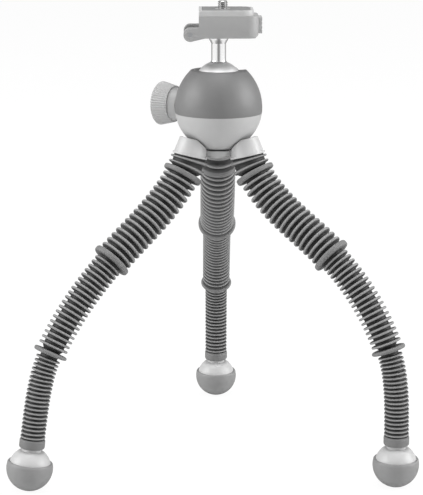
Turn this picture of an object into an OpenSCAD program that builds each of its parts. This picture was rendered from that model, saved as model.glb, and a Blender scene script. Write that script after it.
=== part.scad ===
// Flexible leg tripod: three ribbed rubber legs, bent over a wire core, carry a ball head
// with a side lock knob, a drop notch and a quick release camera plate.
// The origin is on the floor under the head's axis, +Z is up and the front is -Y.
// Each leg lies in a vertical plane through the axis and is drawn along its own bent line.

/* [Housing] */
// Radius of the ball housing at its widest level
house_r = 28; // [25:0.5:32]
// Radius of the arc that shapes the upper shell's side
dome_arc_r = 33.5; // [30:0.5:40]
// Height of the flat rim above the widest level
rim_h = 24; // [22:0.5:26]
// Depth of the seam between the two shells below the widest level
seam_drop = 3.3; // [2:0.1:5]
// Wall of the lower shell
shell_wall = 3; // [2:0.1:5]
// Depth of the flat on which the housing stands, cut into its round underside
house_flat = 1; // [0.5:0.1:3]
// Radius of the boss inside the lower shell that takes the hub screw
screw_boss_r = 6; // [5:0.2:7]
// Height of the hub screw's boss above the housing's flat
screw_boss_h = 12; // [9:0.5:14]

/* [Ball and stem] */
// Radius of the ball
ball_r = 16; // [14:0.25:16.5]
// Height of the ball's centre above the widest level
ball_h = 14; // [13:0.25:15]
// Gap between the ball and its socket
ball_gap = 0.3; // [0.2:0.05:0.5]
// Radius of the stem
stem_r = 4.7; // [4:0.1:5.5]
// Length of the stem from the ball's centre to the clamp
stem_len = 31.4; // [31:0.2:36]
// Radius of the flange at the stem's top
flange_r = 6.2; // [5.6:0.1:8]
// Thickness of the flange at the stem's top
flange_t = 1.6; // [1:0.1:3]
// Radius of the fillet where the stem leaves the ball
stem_fillet = 2; // [1:0.25:3]
// Wall of the cup that cradles the ball
seat_wall = 3; // [2.4:0.1:3.2]
// Height of the post under the cup above the widest level
seat_post_h = 3; // [2:0.25:3.25]
// Drop of the cup's edge below the ball's centre
seat_drop = 6.5; // [6.3:0.1:7.5]
// Radius of the hole in the cup's floor
seat_hole_r = 5; // [4:0.25:6]
// Running clearance of parts that turn or slide in each other
run_gap = 0.06; // [0.03:0.01:0.1]
// Direction of the drop notch around the axis, in degrees from +X
notch_az = 30; // [0:5:60]
// Room on each side of the stem in the drop notch
notch_gap = 1.2; // [0.6:0.1:2]

/* [Lock knob] */
// Direction of the knob around the axis, in degrees from +X
knob_az = 150; // [120:5:180]
// Outer radius of the knob
knob_r = 14.25; // [12:0.25:16]
// Radius of the knob at its inner edge
knob_inner_r = 11.9; // [11:0.1:13]
// Thickness of the knob's grip
knob_t = 11; // [8:0.5:14]
// Length of the smooth collar behind the grip
knob_collar_t = 5.4; // [4:0.2:8]
// Radius of the collar at the housing
knob_collar_r = 9.6; // [8:0.1:10.5]
// Step from the collar to the grip
knob_step = 1.2; // [0.8:0.1:2]
// Size of the chamfer around the knob's face
knob_chamfer = 1.2; // [0.6:0.1:2]
// Depth of the dish in the knob's face
knob_dish = 0.8; // [0.4:0.1:1.5]
// Width of the rim around that dish
knob_rim = 4; // [3:0.25:6]
// Number of flutes around the grip
knob_flutes = 26; // [16:1:32]
// Radius of each flute
knob_flute_r = 0.9; // [0.5:0.1:1.2]
// Depth of the pocket in the housing that takes the collar
knob_pocket = 1.4; // [1:0.1:2]
// Gap between the collar and its pocket
knob_gap = 0.5; // [0.4:0.1:0.8]
// Radius of the lock stud
stud_r = 3; // [2.5:0.1:3.5]
// Length of the stud inside the knob
stud_grip = 8; // [5:0.5:10]
// Wall of the threaded bush
bush_wall = 1.6; // [1.2:0.1:2.5]
// Gap between the bush and the plunger when the plunger is drawn back
bush_gap = 0.5; // [0.3:0.05:1]
// How far half a turn of the knob pushes the plunger towards the cup
knob_lift = 0.5; // [0.3:0.05:0.75]
// Radius of the lock plunger
plunger_r = 3.6; // [3:0.1:4]
// Length of the lock plunger, from its tip to the stud
plunger_len = 5.6; // [4.8:0.1:6]
// Gap left between the pushed plunger's tip and the cup
plunger_gap = 0.35; // [0.3:0.05:0.6]

/* [Clamp] */
// Distance from the stem's axis to the clamp's open end
clamp_left = 12.6; // [10:0.2:16]
// Distance from the stem's axis to the clamp's closed end
clamp_right = 25; // [23:0.2:30]
// Width of the clamp from front to back
clamp_w = 33; // [31:0.5:40]
// Height of the clamp
clamp_h = 13.6; // [13:0.1:16]
// Corner radius at the clamp's closed end
clamp_corner_r = 7; // [4:0.25:10]
// Size of the bevel under the clamp's closed end
clamp_bevel = 2; // [1:0.25:3]
// Thickness of the clamp's floor under the slot
clamp_floor = 7.6; // [7:0.1:8]
// Gap between the stem's flange and the clamp
clamp_gap = 0.3; // [0.2:0.05:0.6]
// Width of the slot under the lips
slot_w = 25; // [23:0.5:27]
// Width of the slot between the lips
slot_mouth_w = 20; // [18:0.5:22]
// Thickness of the lips
lip_t = 2.6; // [2:0.1:3.5]
// Thickness of the wall at the slot's closed end
end_wall = 8; // [7.5:0.25:10]
// Radius of the bolt that holds the clamp on the stem
bolt_r = 2.2; // [1.8:0.1:2.6]
// Radius of the bolt's head
bolt_head_r = 4.2; // [3.4:0.1:5]
// Height of the bolt's head
bolt_head_h = 3; // [2:0.2:4]
// Depth of the bolt in the stem
bolt_depth = 10; // [6:0.5:13]

/* [Lock lever] */
// Distance from the stem's axis to the lever's pin
lug_reach = 18; // [16.5:0.25:22]
// Height of the pin above the clamp's underside
lug_h = 2.2; // [1.5:0.1:3]
// Radius of the round end of each lug
lug_r = 4.3; // [3.6:0.1:4.8]
// Thickness of each lug
lug_t = 6; // [4:0.25:8]
// Radius of the lever's pin
pin_r = 1.5; // [1:0.1:2]
// Radius of the lever's barrel
lever_r = 3.7; // [3:0.1:4]
// Length of the lever's thumb tab from the pin
lever_len = 5; // [4:0.1:5.2]
// Thickness of the thumb tab
lever_t = 3; // [2:0.1:4]
// Gap between the lever and the clamp
lever_gap = 0.4; // [0.3:0.05:0.8]

/* [Release button] */
// Width of the release button
button_w = 15; // [10:0.5:18]
// Height of the release button
button_h = 10; // [7:0.2:10.4]
// Height of the button's underside above the clamp's underside
button_up = 2.4; // [1.6:0.1:2.8]
// How far the button stands out of the clamp
button_out = 2.4; // [2:0.1:4]
// How far the button reaches into the clamp
button_in = 4; // [3:0.25:4.5]
// Travel of the button
button_travel = 1.8; // [1:0.1:2]
// Gap around the button
button_gap = 0.35; // [0.3:0.05:0.6]
// Radius of the three grip grooves across the button
button_groove_r = 0.5; // [0.3:0.05:0.8]
// Outer radius of the button's spring
spring_r = 2; // [1.5:0.1:2.6]
// Wire of the button's spring
spring_wire = 0.7; // [0.4:0.1:1]
// Length of the button's spring
spring_len = 5; // [4:0.5:7]
// Height of the spring's middle above the clamp's underside
spring_up = 4.5; // [4:0.1:4.8]

/* [Camera plate] */
// Thickness of the plate's deck
deck_t = 3.4; // [2.6:0.1:5]
// Gap between the deck and the clamp's lips
deck_gap = 0.4; // [0.3:0.05:0.8]
// Distance from the deck's end to the clamp's closed end
deck_inset = 3; // [2:0.25:5]
// Sliding gap of the plate in its slot
plate_gap = 0.3; // [0.25:0.05:0.5]
// Distance from the stem's axis to the camera screw
screw_off = 2.6; // [1:0.2:5]
// Thickness of the rubber pad on the deck
pad_t = 0.9; // [0.5:0.1:1.5]
// Width of the deck's border around the pad
pad_border = 2; // [1:0.25:4]
// Radius of the hole in the pad
pad_hole_r = 5; // [4:0.25:7]
// Radius of the 1/4 inch camera screw
cam_screw_r = 3.175; // [2.9:0.025:3.3]
// Radius of the camera screw's relieved shank in the plate
cam_shank_r = 2.6; // [2:0.1:2.9]
// Gap between the pad's level and the start of the camera screw's thread
cam_thread_gap = 0.3; // [0.3:0.05:0.6]
// Height of the camera screw above the pad
cam_screw_h = 5; // [4:0.1:6]
// Radius of the camera screw's head
cam_head_r = 7; // [5.5:0.25:8]
// Height of the camera screw's head
cam_head_h = 2.2; // [1.6:0.1:2.6]
// Width of the coin slot in the camera screw's head
cam_slot_w = 1.6; // [1:0.1:2]
// Gap around the camera screw's head
cam_head_gap = 0.3; // [0.2:0.05:0.5]

/* [Hub] */
// Distance from the housing's widest radius in to the middle of each collar's lower edge
collar_inset = 6.6; // [3:0.2:7.4]
// Depth of the collar's lower edge below the housing's round underside
collar_below = 1.7; // [1:0.1:5]
// Slant of each collar from the vertical
collar_slant = 15; // [10:0.5:18]
// Length of each collar
collar_len = 11; // [8:0.5:14]
// Radius of each collar at its top
collar_top_r = 9; // [8:0.1:10]
// Radius of each collar at its lower edge
collar_r = 10.75; // [10:0.05:12]
// Radius of the thin flange at the collar's lower edge
collar_flange_r = 11.3; // [11:0.1:13]
// Thickness of that flange
collar_flange_t = 1.2; // [0.8:0.1:2]
// Gap between the collars and the housing
collar_gap = 1.2; // [0.6:0.1:2]
// How far the hub's middle, between the collars, stays inside the housing's radius
hub_inset = 16; // [13:0.25:17]
// Thickness of the hub under the housing's flat
hub_t = 5; // [4:0.25:6]
// Wall of the hub's boss around the screw's head
hub_boss_wall = 3; // [2:0.1:4]
// Radius of the hub screw
hub_screw_r = 2.5; // [2:0.1:3]
// Radius of the hub screw's head
hub_head_r = 4.6; // [3.8:0.1:5.4]
// Height of the hub screw's head
hub_head_h = 2.4; // [1.6:0.1:3]

/* [Legs] */
// Radius of the wire core
core_r = 2.5; // [2:0.1:3]
// Depth of the core in the hub's collar
core_in_hub = 8; // [5:0.5:10]
// Depth of the core in the foot
core_in_foot = 8; // [5:0.5:10]
// Radial gap between the core and what is around it
core_gap = 0.1; // [0.05:0.01:0.2]
// Length from end to end of two facing sleeve pieces, at the core
joint_gap = 0.4; // [0.3:0.05:0.6]
// Slant of the facing ends, for the bend between two sleeve pieces
end_slant = 6.5; // [5:0.25:8]
// Pitch of the ribs by the collar
root_pitch = 4.9; // [4.7:0.05:5.4]
// Radius of the ribs by the collar
root_rib_r = 12; // [11:0.05:12.4]
// Radius of the sleeve between the ribs by the collar
root_groove_r = 10; // [9:0.05:10.4]
// Pitch of the upper section's ribs
upper_pitch = 4.2; // [4.1:0.05:5]
// Radius of the upper section's ribs
upper_rib_r = 11.65; // [10.5:0.05:12.2]
// Radius of the upper section between its ribs
upper_groove_r = 7.8; // [6.5:0.05:8.5]
// Thickness of the upper section's ribs
upper_rib_t = 1.9; // [1.4:0.05:2]
// Radius of the thick rib that starts the upper section
upper_band_r = 13; // [12:0.05:13.6]
// Pitch of the middle section's ribs
middle_pitch = 3.4; // [3.35:0.05:4.2]
// Radius of the middle section's ribs
middle_rib_r = 9.7; // [9:0.05:10.4]
// Radius of the middle section between its ribs
middle_groove_r = 6.7; // [5.8:0.05:7.4]
// Thickness of the middle section's ribs
middle_rib_t = 1.55; // [1.2:0.05:1.65]
// Radius of the thick rib that starts the middle section
middle_band_r = 12.9; // [12:0.05:13.5]
// Pitch of the lower section's ribs
lower_pitch = 2.65; // [2.6:0.05:3.4]
// Radius of the lower section's ribs
lower_rib_r = 7.9; // [7.2:0.05:8.2]
// Radius of the lower section between its ribs
lower_groove_r = 5.6; // [5:0.05:6.2]
// Thickness of the lower section's ribs
lower_rib_t = 1.25; // [1:0.05:1.35]
// Radius of the thick rib that starts the lower section
lower_band_r = 10.9; // [10:0.05:11.5]
// Thickness of the thick ribs
band_t = 3.4; // [2.6:0.1:3.6]
// Length of sleeve that each thick rib takes up
band_pitch = 5.4; // [5.4:0.1:6.4]
// Edge radius of the thick ribs
band_edge = 1.1; // [0.6:0.05:1.2]
// Radius of the cuff at the foot
cuff_r = 8.1; // [7.2:0.05:9]
// Length of the cuff at the foot
cuff_len = 6; // [4:0.25:8]

/* [Feet] */
// Radius of the rubber boot
boot_r = 14.7; // [13.5:0.1:16]
// Wall of the rubber boot
boot_wall = 1.3; // [1:0.1:2]
// Height of the boot's edge above the middle of the foot
boot_edge_h = 4; // [2:0.25:6]
// Height of the cap's top above the middle of the foot
cap_top_h = 11; // [10:0.25:12]
// Radius of the neck between the cuff and the cap
foot_neck_r = 6; // [5:0.1:7]
// Length of that neck
foot_neck_len = 2; // [1.5:0.1:4]
// Depth of the flat that each boot wears on the floor
boot_flat = 0.35; // [0.2:0.05:0.6]

/* [Hidden] */
$fn = 96;
SIDES = ["left", "right", "back"];
LEG_AZ = [210, 330, 90];
PIECES = 10;

// Sleeve pieces from the collar to the foot as [section, thick ribs, thin ribs, bends], where the bends
// are the degrees outward of the left, right and back leg. Sections: 0 root, 1 upper, 2 middle, 3 lower.
LEG = [
  [0, 0, 2, [16.5, 17.5, 14.5]],
  [1, 1, 4, [12, 14, 11.5]],
  [1, 0, 4, [5, 7, 6]],
  [1, 0, 4, [2, 2, 4]],
  [1, 0, 4, [-2, -5, -1]],
  [2, 1, 9, [-8.5, -13.5, -8.5]],
  [2, 0, 10, [-10.5, -13.5, -12.5]],
  [3, 1, 6, [-14.5, -15, -17]],
  [3, 0, 7, [-5.5, -6.5, -7.5]],
  [3, 0, 7, [-2, -2, -2.5]]
];
PITCH = [root_pitch, upper_pitch, middle_pitch, lower_pitch];
RIB_R = [root_rib_r, upper_rib_r, middle_rib_r, lower_rib_r];
GROOVE_R = [root_groove_r, upper_groove_r, middle_groove_r, lower_groove_r];
RIB_T = [upper_rib_t, upper_rib_t, middle_rib_t, lower_rib_t];
BAND_R = [upper_band_r, upper_band_r, middle_band_r, lower_band_r];

// Length and bend of a sleeve piece, and the leg's slant where the piece starts
function ribs_len(i) = LEG[i][1] * band_pitch + LEG[i][2] * PITCH[LEG[i][0]];
function piece_len(i) = ribs_len(i) + (i == PIECES - 1 ? cuff_len : 0);
function bend_of(side, i) = LEG[i][3][side];
function turned(side, i) = bend_of(side, i) * PI / 180;
function slant_from(side, i, start) = i == 0 ? start : slant_from(side, i - 1, start) + bend_of(side, i - 1);

// How far a leg's line runs outward and downward over its first n pieces, for a slant at its start
function run_out(side, i, start) = piece_len(i) / turned(side, i)
  * (cos(slant_from(side, i, start)) - cos(slant_from(side, i + 1, start)));
function run_down(side, i, start) = piece_len(i) / turned(side, i)
  * (sin(slant_from(side, i + 1, start)) - sin(slant_from(side, i, start)));
function out_from(side, n, start) = n == 0 ? 0
  : out_from(side, n - 1, start) + run_out(side, n - 1, start);
function down_from(side, n, start) = n == 0 ? 0
  : down_from(side, n - 1, start) + run_down(side, n - 1, start);

// Reach and depth of the foot's middle from the collar's edge, for a collar with the plain slant
foot_len = foot_neck_len + cap_top_h;
function foot_out(side) = out_from(side, PIECES, collar_slant)
  + foot_len * sin(slant_from(side, PIECES, collar_slant));
function foot_down(side) = down_from(side, PIECES, collar_slant)
  + foot_len * cos(slant_from(side, PIECES, collar_slant));

// Each collar leans a little more or less, so that all three feet meet the floor
LEAN = [
  for (side = [0:2])
    acos(foot_down(0) / norm([foot_out(side), foot_down(side)])) - atan2(foot_out(side), foot_down(side))
];
function slant_at(side, i) = slant_from(side, i, collar_slant + LEAN[side]);
function total_out(side, n) = out_from(side, n, collar_slant + LEAN[side]);
function total_down(side, n) = down_from(side, n, collar_slant + LEAN[side]);

// Height of the housing's widest level, which sets the boots' flats on the floor
collar_reach = house_r - collar_inset;
collar_drop = house_r + collar_below;
hub_r = house_r - hub_inset;
house_foot_drop = house_r - house_flat;
house_z = collar_drop + foot_down(0) + boot_r - boot_flat;
ball_z = house_z + ball_h;
clamp_z = ball_z + stem_len + clamp_gap;
slot_z = clamp_z + clamp_floor;
lip_z = clamp_z + clamp_h - lip_t;
deck_z = clamp_z + clamp_h + deck_gap;
deck_top = deck_z + deck_t;
socket_r = ball_r + ball_gap;
seat_r = ball_r + run_gap + seat_wall;
seat_room = seat_r + ball_gap;
seat_post_r = seat_r - seat_wall;
plunger_tip = sqrt(pow(seat_r + plunger_gap, 2) - pow(ball_h, 2));
stud_end = plunger_tip + plunger_len + knob_lift;
pocket_face = house_r - knob_pocket;
collar_start = pocket_face + knob_gap;
grip_start = collar_start + knob_collar_t;
bush_r = stud_r + bush_wall;
bush_start = stud_end + bush_gap;
bush_len = pocket_face - bush_start;
cap_r = boot_r - boot_wall;
slot_end = clamp_right - end_wall;
lug_gap_w = clamp_w - 2 * lug_t;

// Stations of the core's line as [distance from the axis, height, slant], and points round one of them
CORE_SIDES = 10;
CORE_STEPS = 4;
function station(side, i, s) = let (
  start = slant_at(side, i),
  slant = start + bend_of(side, i) * s / piece_len(i),
  arc_r = piece_len(i) / turned(side, i)
) [
  collar_reach + total_out(side, i) + arc_r * (cos(start) - cos(slant)),
  house_z - collar_drop - total_down(side, i) - arc_r * (sin(slant) - sin(start)),
  slant
];
function beyond(st, d) = [st[0] + d * sin(st[2]), st[1] - d * cos(st[2]), st[2]];
function ring_point(st, a) = [
  st[0] + core_r * cos(a) * cos(st[2]),
  core_r * sin(a),
  st[1] + core_r * cos(a) * sin(st[2])
];
function leg_end(side) = station(side, PIECES - 1, piece_len(PIECES - 1));
function core_line(side) = concat(
  [beyond(station(side, 0, 0), -core_in_hub)],
  [for (i = [0:PIECES - 1], k = [0:CORE_STEPS - 1]) station(side, i, piece_len(i) * k / CORE_STEPS)],
  [leg_end(side), beyond(leg_end(side), core_in_foot)]
);

// Frame of the lock knob: its +Z runs outward along the stud
module knob_frame() {
  translate([0, 0, house_z]) rotate([0, 0, knob_az]) rotate([0, 90, 0]) children();
}

// Frame at the start of a leg's piece n: +Z runs down the leg and -X faces outward
module leg_frame(side, n) {
  translate([0, 0, house_z])
    rotate([0, 0, LEG_AZ[side]])
      translate([collar_reach, 0, -collar_drop])
        rotate([0, 180 - slant_at(side, 0), 0])
          after_pieces(side, n) children();
}

module after_pieces(side, n, i = 0) {
  if (i == n) children();
  else on_arc(side, i, piece_len(i)) after_pieces(side, n, i + 1) children();
}

// Moves children a length s down the bent line of piece i
module on_arc(side, i, s) {
  arc_r = piece_len(i) / turned(side, i);
  translate([-arc_r, 0, 0])
    rotate([0, -bend_of(side, i) * s / piece_len(i), 0])
      translate([arc_r, 0, 0]) children();
}

// Round bar of radius r along the bent line of piece i
module arc_bar(side, i, r) {
  arc_r = piece_len(i) / abs(turned(side, i));
  mirror([bend_of(side, i) > 0 ? 0 : 1, 0, 0])
    translate([-arc_r, 0, 0])
      rotate([90, 0, 0])
        rotate_extrude(angle = abs(bend_of(side, i))) translate([arc_r, 0]) circle(r = r);
}

// Disc rib with rounded edges, centred on z = 0, that roots inside the sleeve's wall
module rib(r, t, edge, root) {
  rotate_extrude() {
    translate([root, -t / 2]) square([r - edge - root, t]);
    if (t > 2 * edge) translate([root, edge - t / 2]) square([r - root, t - 2 * edge]);
    for (z = [edge - t / 2, t / 2 - edge]) translate([r - edge, z]) circle(r = edge);
  }
}

// Room that slants away from a sleeve piece's end, so that its neighbour can bend
module end_room(r) {
  rotate_extrude()
    polygon([
      [0, -joint_gap],
      [0, joint_gap / 2],
      [r, joint_gap / 2 + r * tan(end_slant)],
      [r, -joint_gap]
    ]);
}

// One bending length of the ribbed rubber sleeve
module sleeve_piece(side, i) {
  section = LEG[i][0];
  pitch = PITCH[section];
  root = (GROOVE_R[section] + core_r) / 2;
  last = i == PIECES - 1;
  difference() {
    union() {
      arc_bar(side, i, GROOVE_R[section]);
      if (LEG[i][1] > 0) on_arc(side, i, band_pitch / 2) rib(BAND_R[section], band_t, band_edge, root);
      for (k = [0:LEG[i][2] - 1])
        on_arc(side, i, LEG[i][1] * band_pitch + (k + 0.5) * pitch)
          rib(RIB_R[section], RIB_T[section], RIB_T[section] / 2, root);
      if (last) on_arc(side, i, piece_len(i) - cuff_len / 2) rib(cuff_r, cuff_len, band_edge, root);
    }
    arc_bar(side, i, core_r + core_gap);
    end_room(GROOVE_R[section] + 0.3);
    if (!last) on_arc(side, i, piece_len(i)) mirror([0, 0, 1]) end_room(GROOVE_R[section] + 0.3);
  }
}

module leg_sleeve(side, i) {
  color("dimgray") leg_frame(side, i) sleeve_piece(side, i);
}

// Bendable wire through the whole leg, held in the collar and in the foot
module leg_core(side) {
  line = core_line(side);
  rings = [for (st = line, k = [0:CORE_SIDES - 1]) ring_point(st, 360 * k / CORE_SIDES)];
  last = CORE_SIDES * (len(line) - 1);
  walls = [
    for (j = [0:len(line) - 2], k = [0:CORE_SIDES - 1], half = [0, 1])
      let (a = j * CORE_SIDES + k, b = j * CORE_SIDES + (k + 1) % CORE_SIDES)
      half == 0 ? [a, a + CORE_SIDES, b] : [b, a + CORE_SIDES, b + CORE_SIDES]
  ];
  ends = [
    for (k = [1:CORE_SIDES - 2], end = [0, 1])
      end == 0 ? [0, k, k + 1] : [last, last + k + 1, last + k]
  ];
  color("darkgray") rotate([0, 0, LEG_AZ[side]]) polyhedron(points = rings, faces = concat(walls, ends));
}

module foot_cap(side) {
  color("gainsboro") leg_frame(side, PIECES) difference() {
    union() {
      cylinder(r = foot_neck_r, h = foot_len);
      intersection() {
        translate([0, 0, foot_len]) sphere(r = cap_r);
        translate([0, 0, foot_neck_len]) cylinder(r = boot_r, h = cap_top_h + boot_r);
      }
    }
    translate([0, 0, -1]) cylinder(r = core_r + core_gap, h = core_in_foot + core_gap + 1);
  }
}

module foot_boot(side) {
  color("darkgray") difference() {
    leg_frame(side, PIECES) intersection() {
      translate([0, 0, foot_len]) difference() {
        sphere(r = boot_r);
        sphere(r = cap_r + run_gap);
      }
      translate([0, 0, foot_len - boot_edge_h]) cylinder(r = boot_r + 1, h = 2 * boot_r);
    }
    rotate([0, 0, LEG_AZ[side]]) translate([0, -2 * boot_r, -boot_r])
      cube([10 * house_z, 4 * boot_r, boot_r]);
  }
}

// Spider under the housing with a slanted collar for each leg
module leg_hub() {
  color("gainsboro") difference() {
    union() {
      translate([0, 0, house_z - house_foot_drop - hub_t])
        cylinder(r = hub_head_r + hub_boss_wall, h = hub_t);
      translate([0, 0, house_z - collar_drop]) cylinder(r = hub_r, h = collar_drop / 2);
      for (s = [0:2]) leg_frame(s, 0) {
        translate([0, 0, -collar_len]) cylinder(r1 = collar_top_r, r2 = collar_r, h = collar_len);
        translate([0, 0, -collar_flange_t]) cylinder(r = collar_flange_r, h = collar_flange_t);
      }
    }
    difference() {
      translate([0, 0, house_z]) sphere(r = house_r + collar_gap);
      translate([0, 0, house_z - house_foot_drop - 2 * house_r])
        cylinder(r = screw_boss_r, h = 2 * house_r);
    }
    for (s = [0:2]) leg_frame(s, 0)
      translate([0, 0, -core_in_hub - core_gap]) cylinder(r = core_r + core_gap, h = core_in_hub + 2);
    translate([0, 0, house_z - 2 * collar_drop]) cylinder(r = hub_screw_r + run_gap, h = 2 * collar_drop);
    translate([0, 0, house_z - house_foot_drop - hub_t - 1])
      cylinder(r = hub_head_r + run_gap, h = hub_head_h + 1);
  }
}

module hub_screw() {
  color("silver") translate([0, 0, house_z - house_foot_drop - hub_t]) {
    cylinder(r = hub_head_r, h = hub_head_h);
    cylinder(r = hub_screw_r, h = hub_t + screw_boss_h - 1);
  }
}

// Cuts that both shells share: the knob's pocket, the bush and the plunger's way
module housing_cuts() {
  knob_frame() {
    translate([0, 0, pocket_face]) cylinder(r = knob_collar_r + knob_gap, h = house_r);
    cylinder(r = plunger_r + run_gap, h = house_r);
    translate([0, 0, bush_start]) cylinder(r = bush_r, h = house_r);
  }
}

module lower_shell() {
  color("silver") difference() {
    union() {
      translate([0, 0, house_z]) rotate_extrude() difference() {
        intersection() {
          circle(r = house_r);
          translate([0, -house_foot_drop]) square([house_r, house_foot_drop - seam_drop]);
        }
        intersection() {
          circle(r = house_r - shell_wall);
          translate([0, shell_wall - house_foot_drop]) square([house_r, house_foot_drop]);
        }
      }
      translate([0, 0, house_z - house_foot_drop]) cylinder(r = screw_boss_r, h = screw_boss_h);
      intersection() {
        translate([0, 0, house_z - house_foot_drop + shell_wall / 2]) difference() {
          cylinder(r = seat_post_r, h = house_foot_drop - shell_wall / 2 + seat_post_h);
          cylinder(r = seat_post_r - shell_wall, h = 2 * house_foot_drop);
        }
        translate([0, 0, house_z]) sphere(r = house_r - shell_wall / 2);
      }
    }
    housing_cuts();
    translate([0, 0, ball_z]) sphere(r = seat_r + run_gap);
    translate([0, 0, house_z - house_foot_drop - 1])
      cylinder(r = hub_screw_r + run_gap, h = screw_boss_h + 2);
  }
}

// Dome with a ball mouth, and a notch that lets the stem drop to the side
module upper_shell() {
  color("gray") difference() {
    translate([0, 0, house_z]) rotate_extrude() difference() {
      intersection() {
        translate([house_r - dome_arc_r, 0]) circle(r = dome_arc_r);
        translate([0, -seam_drop]) square([house_r, seam_drop + rim_h]);
      }
      translate([0, ball_h]) circle(r = socket_r);
      translate([0, -seam_drop - 1]) square([seat_room, seam_drop + 1 + ball_h + ball_gap]);
    }
    housing_cuts();
    translate([0, 0, ball_z]) rotate([0, 0, notch_az]) {
      rotate([0, 90, 0]) cylinder(r = stem_r + notch_gap, h = 2 * house_r);
      translate([0, -stem_r - notch_gap, 0]) cube([2 * house_r, 2 * (stem_r + notch_gap), 2 * house_r]);
    }
  }
}

// Cup under the ball, round outside so that it can roll with the ball
module ball_seat() {
  color("ivory") translate([0, 0, ball_z]) difference() {
    sphere(r = seat_r);
    sphere(r = ball_r + run_gap);
    translate([0, 0, -seat_drop]) cylinder(r = 2 * seat_r, h = 2 * seat_r);
    translate([0, 0, -2 * seat_r]) cylinder(r = seat_hole_r, h = 2 * seat_r);
  }
}

module ball_stem() {
  fillet_z = sqrt(pow(ball_r + stem_fillet, 2) - pow(stem_r + stem_fillet, 2));
  fillet_w = (stem_r + stem_fillet) * ball_r / (ball_r + stem_fillet) + 0.02;
  color("lightgray") translate([0, 0, ball_z]) difference() {
    union() {
      sphere(r = ball_r);
      cylinder(r = stem_r, h = stem_len);
      translate([0, 0, stem_len - flange_t]) cylinder(r = flange_r, h = flange_t);
      rotate_extrude() difference() {
        translate([0, ball_r / 2]) square([fillet_w, fillet_z - ball_r / 2]);
        translate([stem_r + stem_fillet, fillet_z]) circle(r = stem_fillet);
      }
    }
    translate([0, 0, stem_len - bolt_depth]) cylinder(r = bolt_r + run_gap, h = bolt_depth + 1);
  }
}

module lock_knob() {
  taper = atan((knob_r - knob_inner_r) / knob_t);
  color("lightgray") knob_frame() difference() {
    union() {
      translate([0, 0, grip_start]) rotate_extrude() difference() {
        polygon([
          [0, 0],
          [knob_inner_r, 0],
          [knob_r, knob_t - knob_chamfer],
          [knob_r - knob_chamfer, knob_t],
          [0, knob_t]
        ]);
        translate([0, knob_t - knob_dish]) square([knob_r - knob_rim, knob_t]);
      }
      translate([0, 0, collar_start])
        cylinder(r1 = knob_collar_r, r2 = knob_inner_r - knob_step, h = knob_collar_t);
    }
    for (k = [0:knob_flutes - 1]) rotate([0, 0, 360 * k / knob_flutes])
      translate([knob_inner_r + knob_flute_r / 3, 0, grip_start - 1])
        rotate([0, taper, 0]) cylinder(r = knob_flute_r, h = 2 * knob_t);
    translate([0, 0, collar_start - 1])
      cylinder(r = stud_r, h = knob_collar_t + stud_grip + 1);
  }
}

module lock_stud() {
  color("silver") knob_frame() translate([0, 0, stud_end])
    cylinder(r = stud_r, h = grip_start + stud_grip - stud_end);
}

module lock_bush() {
  color("goldenrod") knob_frame() translate([0, 0, bush_start]) difference() {
    cylinder(r = bush_r, h = bush_len);
    translate([0, 0, -1]) cylinder(r = stud_r + run_gap, h = bush_len + 2);
  }
}

// Plunger with a hollow nose that the stud drives under the cup
module lock_plunger() {
  color("whitesmoke") knob_frame() translate([0, 0, knob_lift]) difference() {
    translate([0, 0, plunger_tip - plunger_r]) cylinder(r = plunger_r, h = plunger_r + plunger_len);
    translate([-ball_h, 0, 0]) sphere(r = seat_r + plunger_gap);
  }
}

// Outline of the clamp seen from above, grown by g
module clamp_outline(g = 0) {
  half = clamp_w / 2 + g;
  translate([-clamp_left - g, -half]) square([clamp_left + clamp_right + 2 * g - clamp_corner_r, 2 * half]);
  translate([-clamp_left, -half + clamp_corner_r])
    square([clamp_left + clamp_right + g, 2 * (half - clamp_corner_r)]);
  for (y = [-1, 1]) translate([clamp_right + g - clamp_corner_r, y * (half - clamp_corner_r)])
    circle(r = clamp_corner_r);
}

// Side outline of the clamp: its block, the bevel under its closed end and the drooping lug
module clamp_side() {
  difference() {
    translate([-clamp_left, 0]) square([clamp_left + clamp_right, clamp_h]);
    translate([clamp_right, 0]) rotate(45) square(clamp_bevel * sqrt(2), center = true);
  }
}

module lug_side() {
  translate([-lug_reach, lug_h]) circle(r = lug_r);
  polygon([
    [-lug_reach, lug_h - lug_r],
    [-clamp_left + 4, 0],
    [-clamp_left + 4, lug_h + lug_r],
    [-lug_reach, lug_h + lug_r]
  ]);
}

module along_y(w) {
  translate([0, w / 2, 0]) rotate([90, 0, 0]) linear_extrude(height = w) children();
}

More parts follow.
